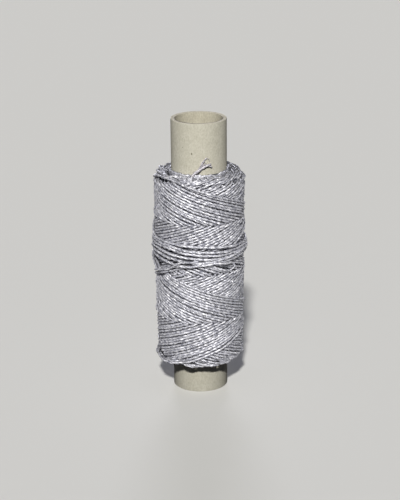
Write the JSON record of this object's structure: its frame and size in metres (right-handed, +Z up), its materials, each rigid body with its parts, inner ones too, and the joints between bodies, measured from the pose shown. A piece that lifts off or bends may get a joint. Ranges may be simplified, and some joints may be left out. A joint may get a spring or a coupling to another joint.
{
  "type": "thread spool",
  "caption": "Straight paperboard tube cross-wound with twisted silver metallic thread, with a band of level turns at the waist and a short free end at the top.",
  "frame": {"origin": "centre of the tube's lower rim, on the surface that the spool stands on", "axes": "+Z up along the tube's axis; -Y is the front, where the thread's free end stands up; +X is to the right seen from the front"},
  "size_m": [0.0342, 0.0342, 0.1016],
  "materials": {
    "cover_paper": "matte",
    "board_ply": "matte",
    "liner_paper": "matte",
    "metallic_thread": "satin"
  },
  "bodies": {
    "root": {"tube_liner": "liner_paper", "tube_inner_board": "board_ply", "tube_outer_board": "board_ply", "tube_cover": "cover_paper", "thread_package": "metallic_thread", "thread_outer_layer": "metallic_thread", "waist_turns": "metallic_thread", "thread_tail": "metallic_thread", "tail_plies": "metallic_thread"}
  },
  "joints": []
}
